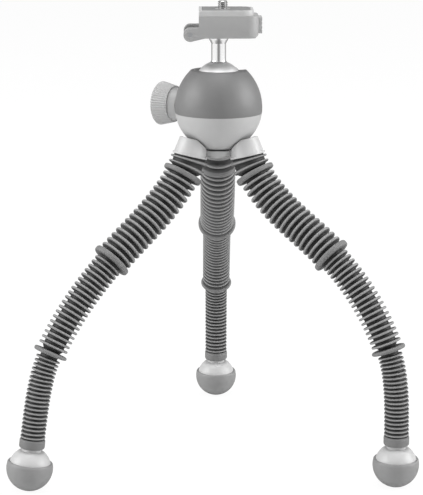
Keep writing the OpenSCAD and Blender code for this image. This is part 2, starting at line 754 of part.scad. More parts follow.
module clamp_body() {
  color("darkgray") difference() {
    translate([0, 0, clamp_z]) union() {
      intersection() {
        linear_extrude(height = clamp_h) clamp_outline();
        along_y(2 * clamp_w) clamp_side();
      }
      for (y = [-1, 1]) translate([0, y * (clamp_w - lug_t) / 2, 0]) along_y(lug_t) lug_side();
    }
    // slot for the plate, open at the lug end
    translate([-2 * clamp_left, -slot_w / 2, slot_z])
      cube([2 * clamp_left + slot_end, slot_w, lip_z - slot_z]);
    translate([-2 * clamp_left, -slot_mouth_w / 2, slot_z])
      cube([2 * clamp_left + slot_end, slot_mouth_w, clamp_h]);
    // bolt, pin, button and spring
    translate([0, 0, clamp_z - 1]) cylinder(r = bolt_r, h = clamp_h);
    translate([0, 0, slot_z - bolt_head_h]) cylinder(r = bolt_head_r + run_gap, h = clamp_h);
    translate([-lug_reach, clamp_w, clamp_z + lug_h])
      rotate([90, 0, 0]) cylinder(r = pin_r, h = 2 * clamp_w);
    translate([
      clamp_right - button_in - button_travel - button_gap,
      -button_w / 2 - button_gap,
      clamp_z + button_up - button_gap
    ])
      cube([clamp_right, button_w + 2 * button_gap, button_h + 2 * button_gap]);
    translate([clamp_right - button_in - spring_len, 0, clamp_z + spring_up])
      rotate([0, 90, 0]) cylinder(r = spring_r + button_gap, h = spring_len);
  }
}

module clamp_bolt() {
  color("silver") {
    translate([0, 0, slot_z - bolt_head_h]) cylinder(r = bolt_head_r, h = bolt_head_h - plate_gap);
    translate([0, 0, ball_z + stem_len - bolt_depth + 1])
      cylinder(r = bolt_r, h = slot_z - bolt_head_h - ball_z - stem_len + bolt_depth);
  }
}

module lock_lever() {
  w = lug_gap_w - 2 * lever_gap;
  color("dimgray") translate([-lug_reach, 0, clamp_z + lug_h]) difference() {
    union() {
      along_y(w) circle(r = lever_r);
      along_y(w) translate([0, -lever_r]) square([lever_len, lever_t]);
    }
    along_y(2 * w) circle(r = pin_r + run_gap);
  }
}

module lever_pin() {
  color("silver") translate([-lug_reach, 0, clamp_z + lug_h]) along_y(clamp_w) circle(r = pin_r);
}

module release_button() {
  color("lightgray") difference() {
    translate([clamp_right - button_in, -button_w / 2, clamp_z + button_up])
      cube([button_in + button_out, button_w, button_h]);
    for (k = [-1:1])
      translate([clamp_right + button_out, 2 * button_w, clamp_z + button_up + button_h * (2 + k) / 4])
        rotate([90, 0, 0]) cylinder(r = button_groove_r, h = 4 * button_w);
  }
}

module button_spring() {
  color("silver") translate([clamp_right - button_in - spring_len, 0, clamp_z + spring_up])
    rotate([0, 90, 0]) difference() {
      cylinder(r = spring_r, h = spring_len);
      translate([0, 0, -1]) cylinder(r = spring_r - spring_wire, h = spring_len + 2);
    }
}

module camera_plate() {
  tongue_w = slot_w - 2 * plate_gap;
  neck_w = slot_mouth_w - 2 * plate_gap;
  deck_len = clamp_left + clamp_right - deck_inset;
  color("silver") difference() {
    union() {
      translate([-clamp_left, -tongue_w / 2, slot_z + plate_gap])
        cube([clamp_left + slot_end - plate_gap, tongue_w, lip_z - slot_z - 2 * plate_gap]);
      translate([-clamp_left, -neck_w / 2, slot_z + plate_gap])
        cube([clamp_left + slot_end - plate_gap, neck_w, deck_z - slot_z]);
      translate([0, 0, deck_z]) linear_extrude(height = deck_t) intersection() {
        translate([-deck_inset, 0]) clamp_outline();
        translate([-clamp_left, -clamp_w]) square([deck_len, 2 * clamp_w]);
      }
    }
    translate([0, 0, deck_top - pad_t]) linear_extrude(height = 2 * pad_t) pad_outline();
    translate([screw_off, 0, slot_z]) {
      cylinder(r = cam_shank_r + run_gap, h = clamp_h);
      cylinder(r = cam_head_r + cam_head_gap, h = plate_gap + cam_head_h + cam_head_gap);
    }
  }
}

module pad_outline() {
  difference() {
    intersection() {
      translate([-deck_inset, 0]) clamp_outline(-pad_border);
      translate([-clamp_left + pad_border, -clamp_w]) square(2 * clamp_w);
    }
    translate([screw_off, 0]) circle(r = pad_hole_r);
  }
}

module plate_pad() {
  color("gray") translate([0, 0, deck_top - pad_t]) linear_extrude(height = pad_t) pad_outline();
}

module camera_screw() {
  head_z = slot_z + plate_gap;
  color("silver") translate([screw_off, 0, 0]) {
    translate([0, 0, head_z]) difference() {
      cylinder(r = cam_head_r, h = cam_head_h);
      translate([-2 * cam_head_r, -cam_slot_w / 2, -1]) cube([4 * cam_head_r, cam_slot_w, 2]);
    }
    translate([0, 0, head_z + cam_head_h / 2])
      cylinder(r = cam_shank_r, h = deck_top + cam_screw_h / 2 - head_z - cam_head_h / 2);
    translate([0, 0, deck_top + cam_thread_gap])
      cylinder(r = cam_screw_r, h = cam_screw_h - cam_thread_gap);
  }
}

leg_hub();
hub_screw();
lower_shell();
upper_shell();
ball_seat();
ball_stem();
lock_knob();
lock_stud();
lock_bush();
lock_plunger();
clamp_body();
clamp_bolt();
lock_lever();
lever_pin();
release_button();
button_spring();
camera_plate();
plate_pad();
camera_screw();
for (s = [0:2]) {
  leg_core(s);
  for (i = [0:PIECES - 1])
    leg_sleeve(s, i);
  foot_cap(s);
  foot_boot(s);
}
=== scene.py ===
"""Looks of a flexible leg tripod: ribbed rubber legs, a ball head and a quick release plate.

Every length in the classes is in millimetres, as in the part's source, and MM turns it to metres.
The studio alone is laid out in metres.
"""

import logging
import math
from collections.abc import Callable, Sequence
from dataclasses import dataclass, field, replace
from enum import Enum

import bmesh
import bpy
from mathutils import Matrix, Vector


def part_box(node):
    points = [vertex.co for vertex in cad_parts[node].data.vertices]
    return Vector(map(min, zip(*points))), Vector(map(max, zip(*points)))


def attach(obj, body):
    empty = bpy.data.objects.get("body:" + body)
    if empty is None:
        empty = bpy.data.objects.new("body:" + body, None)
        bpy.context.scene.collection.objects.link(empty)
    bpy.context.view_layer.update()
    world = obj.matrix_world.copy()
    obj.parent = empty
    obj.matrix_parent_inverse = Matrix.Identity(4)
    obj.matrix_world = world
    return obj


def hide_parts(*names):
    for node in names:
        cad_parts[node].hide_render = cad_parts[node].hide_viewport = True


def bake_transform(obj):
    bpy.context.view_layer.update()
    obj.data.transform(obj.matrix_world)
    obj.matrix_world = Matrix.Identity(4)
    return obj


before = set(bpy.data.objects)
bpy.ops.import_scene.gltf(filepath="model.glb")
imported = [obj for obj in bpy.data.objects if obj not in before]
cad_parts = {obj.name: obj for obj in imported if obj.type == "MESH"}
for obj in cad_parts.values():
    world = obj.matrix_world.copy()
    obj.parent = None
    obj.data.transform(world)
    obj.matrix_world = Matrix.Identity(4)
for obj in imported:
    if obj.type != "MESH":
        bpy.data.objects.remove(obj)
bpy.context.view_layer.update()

MM = 0.001
LOG = logging.getLogger("tripod")
Profile = list[tuple[float, float]]
Shape = Callable[[float, float, float], float]

# Sockets of Blender's colour mix node, which are found by number.
MIX_SHARE, MIX_ONE, MIX_TWO, MIX_RESULT = 0, 6, 7, 2
# Degrees: the turn that makes an edge sharp, and the turn that still counts as one flat face.
SHARP_EDGE, FLAT_FACE = 38.0, 0.6
# Metres: corners of CAD facets closer than this are one, and heights closer than this are the same.
WELD, SAME_HEIGHT = 2e-6, 0.1 * MM
# Millimetres: a ring thinner than this is a pole, and outline points closer than this are one.
POLE_R, SAME_POINT = 1e-6, 1e-4
# Millimetres: slack in telling which part of an outline a point is on.
ON_OUTLINE = 0.01
BEVEL_STEPS = 3


class Surface(Enum):
    """How a finish's surface was made, which sets the pattern that it shows."""

    MOULDED = "moulded"
    TURNED = "turned"
    RIBBED = "ribbed"


def linear(code: str) -> tuple[float, float, float, float]:
    """Turns an sRGB hex colour to linear light.

    Args:
        code: six hex digits after a hash sign.

    Returns:
        Linear red, green and blue, and an alpha of 1.
    """
    parts = [int(code[k:k + 2], 16) / 255 for k in (1, 3, 5)]
    r, g, b = [c / 12.92 if c <= 0.04045 else ((c + 0.055) / 1.055) ** 2.4 for c in parts]
    return r, g, b, 1.0


def add_node(tree: bpy.types.NodeTree, kind: str, values: dict | None = None,
             links: dict | None = None, **settings: object) -> bpy.types.Node:
    """Adds a node with its settings, socket values and links.

    Args:
        tree: the node tree to add to.
        kind: Blender's name of the node type.
        values: socket name or number to its constant value.
        links: socket name or number to the output socket that feeds it.
        **settings: properties of the node itself.

    Returns:
        The new node.
    """
    node = tree.nodes.new(kind)
    for key, value in settings.items():
        setattr(node, key, value)
    for key, value in (values or {}).items():
        node.inputs[key].default_value = value
    for key, source in (links or {}).items():
        tree.links.new(source, node.inputs[key])
    return node


@dataclass(frozen=True)
class Finish:
    """One real material and the way its surface was made.

    The colour clouds over to the tone in patches of tone_mm, and the fine pattern is grain_mm across
    and grain_depth_mm deep. Satin is the roughness added where a mesh is marked as satin.
    """

    name: str
    colour: str
    tone: str
    roughness: float
    rough_spread: float = 0.06
    metallic: float = 0.0
    ior: float = 1.5
    surface: Surface = Surface.MOULDED
    tone_mm: float = 6.0
    grain_mm: float = 0.5
    grain_depth_mm: float = 0.02
    # Painted highlight colour for rib edges and bands, also standing for rubbed wear, and painted shade
    # colour for deep in the grooves, also standing for dust.
    rib_highlight: str = ""
    groove_shade: str = ""
    coat: float = 0.0
    satin: float = 0.0

    def make(self) -> bpy.types.Material:
        """Builds the node material.

        Returns:
            The new material.
        """
        material = bpy.data.materials.new(self.name)
        material.use_nodes = True
        tree = material.node_tree
        tree.nodes.clear()
        place = add_node(tree, "ShaderNodeTexCoord").outputs["Object"]
        patches = add_node(tree, "ShaderNodeTexNoise",
                           {"Scale": 1 / (self.tone_mm * MM), "Detail": 4.0, "Roughness": 0.55},
                           {"Vector": place}).outputs["Fac"]
        colour = add_node(tree, "ShaderNodeMix",
                          {MIX_ONE: linear(self.colour), MIX_TWO: linear(self.tone)},
                          {MIX_SHARE: patches}, data_type="RGBA").outputs[MIX_RESULT]
        if self.rib_highlight:
            colour = self._painted_rib_light(tree, colour)
        rough = add_node(tree, "ShaderNodeMapRange",
                         {"To Min": self.roughness - self.rough_spread,
                          "To Max": self.roughness + self.rough_spread},
                         {"Value": patches}).outputs["Result"]
        if self.satin:
            marked = add_node(tree, "ShaderNodeAttribute", attribute_name="satin").outputs["Fac"]
            rough = add_node(tree, "ShaderNodeMath", {1: self.satin}, {0: marked, 2: rough},
                             operation="MULTIPLY_ADD").outputs[0]
        bump = add_node(tree, "ShaderNodeBump",
                        {"Strength": 0.6, "Distance": self.grain_depth_mm * MM},
                        {"Height": self._pattern(tree, place)})
        shader = add_node(tree, "ShaderNodeBsdfPrincipled",
                          {"Metallic": self.metallic, "IOR": self.ior,
                           "Coat Weight": self.coat, "Coat Roughness": 0.2},
                          {"Base Color": colour, "Roughness": rough,
                           "Normal": bump.outputs["Normal"]})
        add_node(tree, "ShaderNodeOutputMaterial", None, {"Surface": shader.outputs["BSDF"]})
        return material

    def _painted_rib_light(self, tree: bpy.types.NodeTree, colour: bpy.types.NodeSocket) -> bpy.types.NodeSocket:
        """Paints shade deep between the ribs and a highlight on the rib edges and bands, which also
        stands for rubbed wear, from the mesh's depth values.

        Args:
            tree: the material's node tree.
            colour: the plain colour.

        Returns:
            The colour with its wear.
        """
        depth = add_node(tree, "ShaderNodeAttribute", attribute_name="rib_tip").outputs["Fac"]
        # Painted shade: deep in the grooves the colour darkens to the groove shade colour.
        shade = add_node(tree, "ShaderNodeMapRange", {"From Min": 0.0, "From Max": 0.7},
                         {"Value": depth}).outputs["Result"]
        deep = add_node(tree, "ShaderNodeMix", {MIX_ONE: linear(self.groove_shade)},
                        {MIX_SHARE: shade, MIX_TWO: colour}, data_type="RGBA").outputs[MIX_RESULT]
        # Painted highlight: rib edges and band faces pale towards the highlight colour.
        highlight_share = add_node(tree, "ShaderNodeMapRange", {"From Min": 0.82, "From Max": 1.0, "To Max": 0.7},
                       {"Value": depth}).outputs["Result"]
        pale = add_node(tree, "ShaderNodeMix", {MIX_TWO: linear(self.rib_highlight)},
                        {MIX_SHARE: highlight_share, MIX_ONE: deep}, data_type="RGBA")
        return pale.outputs[MIX_RESULT]

    def _pattern(self, tree: bpy.types.NodeTree, place: bpy.types.NodeSocket) -> bpy.types.NodeSocket:
        """Height of the surface's fine pattern.

        Args:
            tree: the material's node tree.
            place: the object's coordinates, in metres.

        Returns:
            The socket that gives the height.
        """
        scale = 1 / (self.grain_mm * MM)
        if self.surface is Surface.TURNED:
            lines = add_node(tree, "ShaderNodeTexWave",
                             {"Scale": scale / 2, "Distortion": 0.4, "Detail": 1.0},
                             {"Vector": place}, wave_type="BANDS", bands_direction="Z")
        elif self.surface is Surface.RIBBED:
            lines = add_node(tree, "ShaderNodeTexWave", {"Scale": scale / 2},
                             {"Vector": place}, wave_type="BANDS", bands_direction="X")
        else:
            lines = add_node(tree, "ShaderNodeTexNoise",
                             {"Scale": scale, "Detail": 2.0, "Roughness": 0.6}, {"Vector": place})
        return lines.outputs["Fac"]


# Finishes by the record's material slots. The photograph is grey throughout, and so are they.
FINISHES: dict[str, Finish] = {
    # Moulded TPE rubber: matt, with painted shade darkening the grooves, which also stands for the dust
    # they hold, and a painted highlight paling the rib edges and bands, which also stands for rubbed
    # wear.
    # Its 0.1 mm spark grain is too fine to show, and is drawn at 0.6 mm.
    "sleeve_rubber": Finish(
        "moulded_tpe_rubber_sleeve", "#636363", "#5a5a5a", 0.62, ior=1.52, grain_mm=0.6,
        grain_depth_mm=0.03, rib_highlight="#9c9c9c", groove_shade="#242424"),
    # Soft moulded rubber of the feet: paler and matt, with scuffs a few millimetres across.
    "boot_rubber": Finish(
        "moulded_soft_rubber_boot", "#898989", "#7f7f7f", 0.5, ior=1.52, tone_mm=4.0, grain_mm=0.6,
        grain_depth_mm=0.03),
    # Moulded rubber pad of the plate: matt, with fine grip lines 1.2 mm apart.
    "pad_rubber": Finish(
        "moulded_rubber_grip_pad", "#7c7c7c", "#747474", 0.7, ior=1.52, surface=Surface.RIBBED,
        grain_mm=1.2, grain_depth_mm=0.15),
    # Spark-textured ABS: a satin skin that breaks up highlights. Its 0.1 mm texture is drawn at 0.5 mm,
    # as on every moulded plastic below. The hub and the foot caps are the palest, with a light gloss.
    "collar_plastic": Finish(
        "spark_textured_abs_pale_grey", "#c0c0c0", "#b9b9b9", 0.42, ior=1.54, coat=0.05),
    "lower_plastic": Finish("spark_textured_abs_light_grey", "#b1b1b1", "#ababab", 0.45, ior=1.54),
    "upper_plastic": Finish("spark_textured_abs_mid_grey", "#717171", "#6b6b6b", 0.48, ior=1.54),
    # Moulded ABS of the pieces that fingers turn and press: the same satin skin.
    "knob_plastic": Finish("moulded_abs_knob_grey", "#b4b4b4", "#acacac", 0.45, ior=1.54),
    "button_plastic": Finish("moulded_abs_button_grey", "#aeaeae", "#a6a6a6", 0.42, ior=1.54),
    # Moulded glass-filled nylon: stiff and dull, with a slightly grainier skin where fibres show.
    "clamp_plastic": Finish(
        "moulded_glass_filled_nylon_clamp", "#a1a1a1", "#989898", 0.45, ior=1.53,
        grain_depth_mm=0.025),
    "plate_plastic": Finish(
        "moulded_glass_filled_nylon_plate", "#b8b8b8", "#afafaf", 0.45, ior=1.53,
        grain_depth_mm=0.025),
    # The lever is dark grey nylon, and its darkness also stands as painted shade for the shadowed gap
    # between the clamp's ears that it sits in.
    "lever_plastic": Finish("moulded_glass_filled_nylon_lever", "#4c4c4c", "#444444", 0.5, ior=1.53),
    # Natural acetal, machined: smooth and slippery, slightly waxy.
    "cup_plastic": Finish(
        "machined_acetal_cup", "#d8d6cf", "#d2d0c8", 0.35, ior=1.48, grain_mm=0.8,
        grain_depth_mm=0.008),
    # Chromium plate over turned steel: a mirror bright stem with the faintest turning lines left, drawn
    # 0.4 mm apart, and a ball blasted to satin under the plate, which blurs what it mirrors.
    "polished_chrome": Finish(
        "polished_chromium_plate", "#e2e2e2", "#dcdcdc", 0.19, 0.03, 1.0, surface=Surface.TURNED,
        grain_mm=0.4, grain_depth_mm=0.0015, satin=0.3),
    # Zinc-plated steel fasteners: dull silver with soft cloudy patches.
    "zinc_steel": Finish(
        "zinc_plated_steel", "#b7b8ba", "#a9abad", 0.5, 0.08, 1.0, tone_mm=2.0, grain_mm=0.4,
        grain_depth_mm=0.004),
    # Nickel over the camera screw's rolled thread: glossier than zinc, clouded in small patches.
    "screw_steel": Finish(
        "rolled_nickel_plated_steel", "#a8a8a8", "#9a9a9a", 0.3, 0.08, 1.0, tone_mm=1.5, grain_mm=0.4,
        grain_depth_mm=0.004),
    # Turned brass bush: warm, with tool rings.
    "bush_brass": Finish(
        "turned_brass", "#c9a860", "#bf9d55", 0.3, 0.05, 1.0, surface=Surface.TURNED,
        grain_depth_mm=0.005),
    # Drawn aluminium wire: bright, with the small cloudy patches that drawing leaves.
    "core_wire": Finish(
        "drawn_aluminium_wire", "#b6b6b8", "#a8a8aa", 0.38, metallic=1.0, tone_mm=1.5,
        grain_depth_mm=0.004),
}


@dataclass
class Workshop:
    """Turns meshes into dressed pieces that ride on the frame's bodies."""

    materials: dict[str, bpy.types.Material] = field(default_factory=dict)

    def material(self, slot: str) -> bpy.types.Material:
        """Gives the material of a slot, made on first use.

        Args:
            slot: the record's material slot.

        Returns:
            The material.
        """
        if slot not in self.materials:
            self.materials[slot] = FINISHES[slot].make()
        return self.materials[slot]

    def piece(self, name: str, mesh: bpy.types.Mesh, slot: str,
              sharp: float = SHARP_EDGE) -> bpy.types.Object:
        """Makes an object of a mesh, smooth but for its sharp edges, and dresses it.

        Args:
            name: the piece's name.
            mesh: its mesh, in metres in the row frame.
            slot: the record's material slot.
            sharp: angle in degrees above which an edge stays sharp.

        Returns:
            The new object, not yet on a body.
        """
        mesh.name = name
        mesh.polygons.foreach_set("use_smooth", [True] * len(mesh.polygons))
        mesh.set_sharp_from_angle(angle=math.radians(sharp))
        mesh.materials.append(self.material(slot))
        piece = bpy.data.objects.new(name, mesh)
        bpy.context.scene.collection.objects.link(piece)
        return piece

    def on_body(self, piece: bpy.types.Object, body: str, *nodes: str) -> bpy.types.Object:
        """Puts a piece on a body in place of CAD nodes.

        Args:
            piece: the object.
            body: the body that it moves with.
            *nodes: the CAD nodes that it stands for.

        Returns:
            The same object.
        """
        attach(piece, body)
        if nodes:
            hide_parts(*nodes)
        LOG.info("%s rides on %s", piece.name, body)
        return piece

    def dress_node(self, node: str, slot: str) -> None:
        """Gives a CAD node that stays its material.

        Args:
            node: the node's name.
            slot: the record's material slot.
        """
        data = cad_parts[node].data
        data.materials.clear()
        data.materials.append(self.material(slot))
        LOG.info("%s keeps its shape", node)

    def softened(self, node: str, slot: str, edge: float, body: str, parting: float | None = None,
                 closing: float = 0.0) -> bpy.types.Object:
        """Stands a copy with rounded edges in for a CAD node, as moulded pieces have them.

        Args:
            node: the CAD node.
            slot: the record's material slot.
            edge: width of the rounding in millimetres.
            body: the body that it moves with.
            parting: height in metres of an underside whose edges stay sharp.
            closing: how far that underside comes down, in millimetres.

        Returns:
            The new piece.
        """
        work = bmesh.new()
        work.from_mesh(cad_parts[node].data)
        bmesh.ops.remove_doubles(work, verts=work.verts, dist=WELD)
        bmesh.ops.dissolve_limit(work, angle_limit=math.radians(FLAT_FACE), verts=work.verts,
                                 edges=work.edges)
        weight = work.edges.layers.float.new("bevel_weight_edge")
        under = set()
        if parting is not None:
            under = {v for v in work.verts if abs(v.co.z - parting) < SAME_HEIGHT}
        for side in work.edges:
            sharp = side.calc_face_angle(0.0) > math.radians(SHARP_EDGE)
            side[weight] = float(sharp and not under.issuperset(side.verts))
        for vertex in under:
            vertex.co.z -= closing * MM
        mesh = bpy.data.meshes.new(node)
        work.to_mesh(mesh)
        work.free()
        rough = bpy.data.objects.new(node + "_rough", mesh)
        bpy.context.scene.collection.objects.link(rough)
        bevel = rough.modifiers.new("edge", "BEVEL")
        bevel.width = edge * MM
        bevel.segments = BEVEL_STEPS
        bevel.limit_method = "WEIGHT"
        bevel.use_clamp_overlap = True
        bpy.context.view_layer.update()
        depsgraph = bpy.context.evaluated_depsgraph_get()
        made = bpy.data.meshes.new_from_object(rough.evaluated_get(depsgraph))
        bpy.data.objects.remove(rough)
        made.materials.clear()
        return self.on_body(self.piece(node + "_moulded", made, slot), body, node)


def rounded(corners: Sequence[tuple[float, float, float]], steps: int = 5) -> Profile:
    """Rounds the corners of an outline.

    Args:
        corners: points as (across, along, corner radius).
        steps: points on each rounded corner.

    Returns:
        The outline's points.
    """
    made: Profile = []
    for k, (x, y, radius) in enumerate(corners):
        if radius <= 0 or k in (0, len(corners) - 1):
            made.append((x, y))
            continue
        here = Vector((x, y))
        before = (Vector(corners[k - 1][:2]) - here).normalized()
        after = (Vector(corners[k + 1][:2]) - here).normalized()
        half = before.angle(after) / 2
        reach = radius / math.tan(half)
        middle = here + (before + after).normalized() * (radius / math.sin(half))
        first, last = here + before * reach - middle, here + after * reach - middle
        turn = first.angle_signed(last)
        for j in range(steps + 1):
            c, s = math.cos(-turn * j / steps), math.sin(-turn * j / steps)
            made.append((middle.x + first.x * c - first.y * s, middle.y + first.x * s + first.y * c))
    return made


def lathe(profile: Profile, place: Matrix, segments: int, shape: Shape | None = None) -> bpy.types.Mesh:
    """Turns an outline round the Z axis of a frame.

    Args:
        profile: points as (radius, height) in millimetres, from one end to the other.
        place: the frame, in metres.
        segments: number of facets round the axis.
        shape: gives the radius from (radius, height, angle), for what isn't round.

    Returns:
        The new mesh.
    """
    work = bmesh.new()
    rings = []
    for r, z in profile:
        if r < POLE_R:
            rings.append([work.verts.new(place @ Vector((0, 0, z * MM)))])
            continue
        ring = []
        for k in range(segments):
            a = 2 * math.pi * k / segments
            out = shape(r, z, a) if shape else r
            spot = Vector((out * math.cos(a) * MM, out * math.sin(a) * MM, z * MM))
            ring.append(work.verts.new(place @ spot))
        rings.append(ring)
    join_rings(work, rings, segments)
    return finished(work)


def join_rings(work: bmesh.types.BMesh, rings: list[list[bmesh.types.BMVert]], segments: int) -> None:
    """Fills the faces between neighbouring rings, where a ring of one point is a pole.

    Args:
        work: the mesh in work.
        rings: the rings' points, in order.
        segments: number of points on a full ring.
    """
    for one, two in zip(rings, rings[1:]):
        for k in range(segments):
            n = (k + 1) % segments
            corners = [one[k % len(one)], one[n % len(one)], two[n % len(two)], two[k % len(two)]]
            face = list(dict.fromkeys(corners))
            if len(face) > 2:
                work.faces.new(face)


def finished(work: bmesh.types.BMesh) -> bpy.types.Mesh:
    """Turns the faces outward and closes the work.

    Args:
        work: the mesh in work, which is freed.

    Returns:
        The new mesh.
    """
    bmesh.ops.recalc_face_normals(work, faces=work.faces)
    mesh = bpy.data.meshes.new("made")
    work.to_mesh(mesh)
    work.free()
    return mesh


# Azimuth of each leg, and the bend outward of each piece of its sleeve, from the collar down. Degrees.
LEG_BENDS: dict[str, tuple[float, tuple[float, ...]]] = {
    "left": (210.0, (16.5, 12, 5, 2, -2, -8.5, -10.5, -14.5, -5.5, -2)),
    "right": (330.0, (17.5, 14, 7, 2, -5, -13.5, -13.5, -15, -6.5, -2)),
    "back": (90.0, (14.5, 11.5, 6, 4, -1, -8.5, -12.5, -17, -7.5, -2.5)),
}


@dataclass(frozen=True)
class Rib:
    """A rib, band or cuff round a leg's line, with its middle as a length along the line."""

    middle: float
    radius: float
    thickness: float
    edge: float

    @property
    def low(self) -> float:
        """Length along the line where it starts."""
        return self.middle - self.thickness / 2

    @property
    def high(self) -> float:
        """Length along the line where it ends."""
        return self.middle + self.thickness / 2


@dataclass(frozen=True)
class LegLine:
    """The bent line that a leg follows, with the sizes of the sleeve on it.

    The sleeve has four sections, each slimmer than the one above, and each of its bending pieces is
    given as (section, bands, ribs).
    """

    bends: tuple[float, ...]
    lean: float = 0.0
    collar_reach: float = 21.4
    collar_drop: float = 29.7
    collar_slant: float = 15.0
    pitch: tuple[float, ...] = (4.9, 4.2, 3.4, 2.65)
    rib_r: tuple[float, ...] = (12.0, 11.65, 9.7, 7.9)
    groove_r: tuple[float, ...] = (10.0, 7.8, 6.7, 5.6)
    rib_t: tuple[float, ...] = (1.9, 1.9, 1.55, 1.25)
    band_r: tuple[float, ...] = (13.0, 13.0, 12.9, 10.9)
    band_t: tuple[float, ...] = (3.4, 3.4, 3.4, 2.4)
    band_edge: float = 1.1
    band_pitch: float = 5.4
    cuff_r: float = 8.1
    cuff_len: float = 6.0
    core_r: float = 2.5
    core_gap: float = 0.1
    foot_len: float = 13.0
    pieces: tuple[tuple[int, int, int], ...] = (
        (0, 0, 2), (1, 1, 4), (1, 0, 4), (1, 0, 4), (1, 0, 4),
        (2, 1, 9), (2, 0, 10), (3, 1, 6), (3, 0, 7), (3, 0, 7))

    def length(self, i: int) -> float:
        """Length of a piece along the line.

        Args:
            i: number of the piece from the collar.

        Returns:
            The length in millimetres.
        """
        section, bands, ribs = self.pieces[i]
        cuff = self.cuff_len if i == len(self.pieces) - 1 else 0.0
        return bands * self.band_pitch + ribs * self.pitch[section] + cuff

    def start(self, i: int) -> float:
        """Length of the line before piece i."""
        return sum(self.length(k) for k in range(i))

    def spot(self, s: float) -> tuple[float, float, float]:
        """Where a length along the line lies.

        Args:
            s: length from the collar's lower edge; straight before 0 and past the end.

        Returns:
            Distance from the axis, depth below the housing's widest level, and slant in radians.
        """
        r, drop, slant = self.collar_reach, self.collar_drop, math.radians(self.collar_slant + self.lean)
        left = s
        for i, bend in enumerate(self.bends):
            if left <= 0:
                break
            run = min(left, self.length(i))
            arc = self.length(i) / math.radians(bend)
            turned = slant + run / arc
            r += arc * (math.cos(slant) - math.cos(turned))
            drop += arc * (math.sin(turned) - math.sin(slant))
            slant, left = turned, left - run
        return r + left * math.sin(slant), drop + left * math.cos(slant), slant

    def foot(self) -> tuple[float, float]:
        """How far out and how deep the foot's middle lies from the collar's edge."""
        r, drop, _ = self.spot(self.start(len(self.pieces)) + self.foot_len)
        return r - self.collar_reach, drop - self.collar_drop

    def settled(self, depth: float) -> "LegLine":
        """Leans the collar so that the foot's middle lies at a depth.

        Args:
            depth: the depth below the collar's edge.

        Returns:
            The leaned line.
        """
        out, down = self.foot()
        turned = math.acos(depth / math.hypot(out, down)) - math.atan2(out, down)
        return replace(self, lean=math.degrees(turned))


